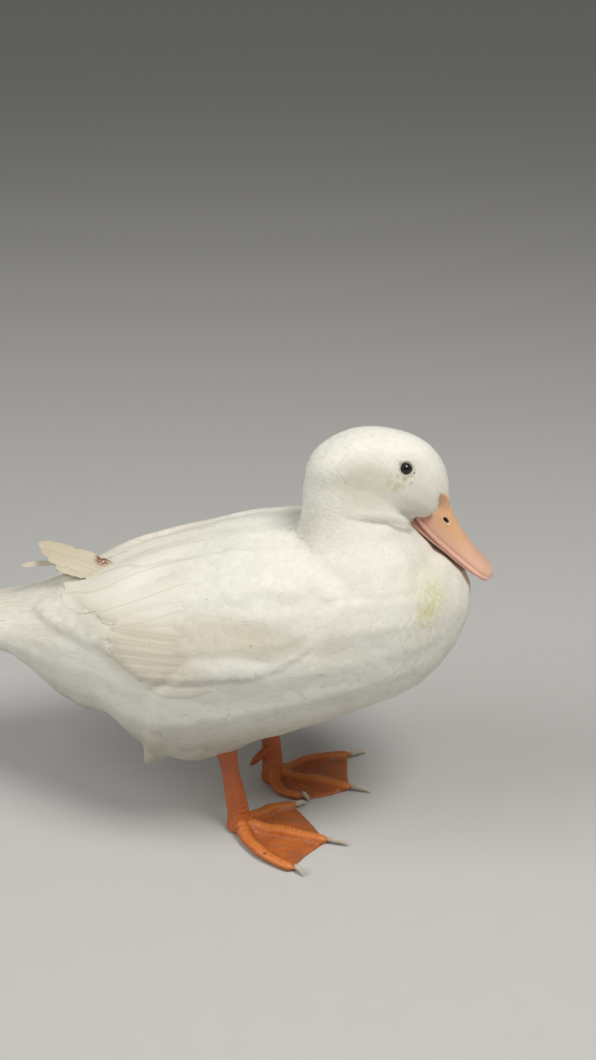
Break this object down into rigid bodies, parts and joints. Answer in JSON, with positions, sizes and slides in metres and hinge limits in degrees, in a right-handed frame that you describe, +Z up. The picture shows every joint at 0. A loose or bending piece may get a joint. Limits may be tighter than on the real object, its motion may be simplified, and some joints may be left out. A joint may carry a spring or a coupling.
{
  "type": "duck",
  "caption": "White domestic duck standing at rest, head drawn down on the breast, wings folded, flat webbed feet; a still, life-size model.",
  "frame": {"origin": "middle of the whole duck's footprint box, on the floor it stands on", "axes": "+X forward along the body, +Y to the duck's left, +Z up"},
  "size_m": [0.46, 0.1918, 0.3411],
  "materials": {
    "plumage": "soft matt white feathers, faintly stained",
    "flight_feathers": "matt cream-white vaned feathers, worn at the tips",
    "bill": "smooth, slightly satin peach-orange bill skin",
    "eye": "wet glossy near-black",
    "foot_skin": "scaly satin orange skin",
    "claw": "dull horn"
  },
  "bodies": {
    "root": {"bill_lower": "bill", "bill_upper": "bill", "breast": "plumage", "claw_inner_left": "claw", "claw_inner_right": "claw", "claw_middle_left": "claw", "claw_middle_right": "claw", "claw_outer_left": "claw", "claw_outer_right": "claw", "eye_left": "eye", "eye_right": "eye", "foot_left": "foot_skin", "foot_right": "foot_skin", "head": "plumage", "hind_toe_left": "foot_skin", "hind_toe_right": "foot_skin", "neck": "plumage", "rump": "plumage", "shank_left": "foot_skin", "shank_right": "foot_skin", "tail": "flight_feathers", "thigh_left": "plumage", "thigh_right": "plumage", "trunk": "plumage", "wing_coverts_left": "plumage", "wing_coverts_right": "plumage", "wing_primaries_left": "flight_feathers", "wing_primaries_right": "flight_feathers", "wing_secondaries_left": "plumage", "wing_secondaries_right": "plumage"}
  },
  "joints": []
}
